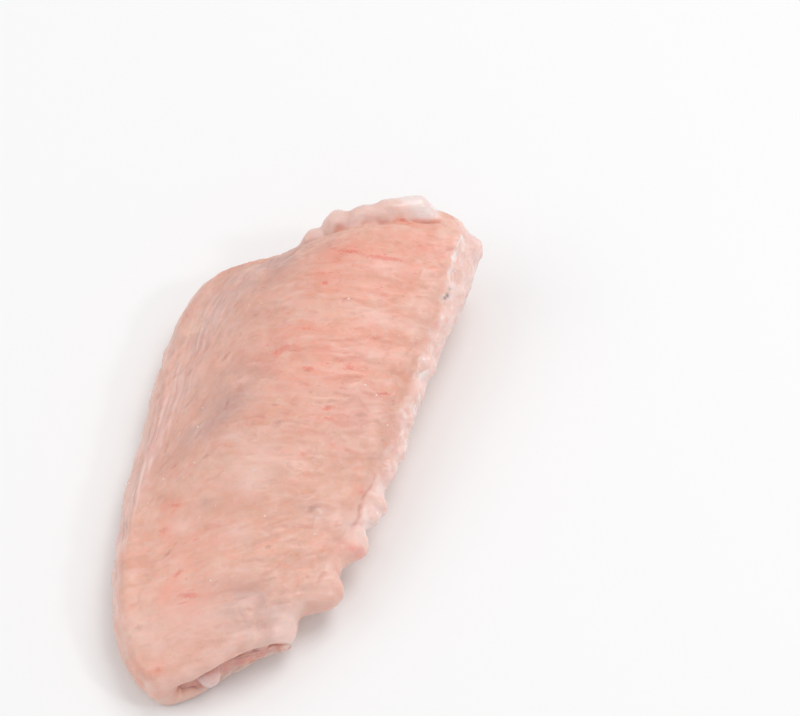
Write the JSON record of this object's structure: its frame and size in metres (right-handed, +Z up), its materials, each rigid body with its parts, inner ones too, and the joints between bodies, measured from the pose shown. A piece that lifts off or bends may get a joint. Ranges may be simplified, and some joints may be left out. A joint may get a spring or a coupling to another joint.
{
  "type": "raw chicken wing middle joint",
  "caption": "Raw chicken wing, the middle joint with its skin on, cut at elbow and wrist with bone ends showing; it lies flat as a food prop or packing test piece.",
  "frame": {"origin": "centre of the bounding box in plan, on the surface that the wing lies on", "axes": "+Y from the wrist cut to the elbow cut, +X towards the trailing edge with the feather follicles, +Z up out of the outer skin"},
  "size_m": [0.049, 0.0936, 0.0211],
  "materials": {
    "raw_skin": "moist, softly glossy peach-pink skin over raw meat",
    "bone_and_cartilage": "wet, pale pinkish white cartilage"
  },
  "bodies": {
    "root": {"wing": "raw_skin", "ulna": "bone_and_cartilage", "radius": "bone_and_cartilage"}
  },
  "joints": []
}
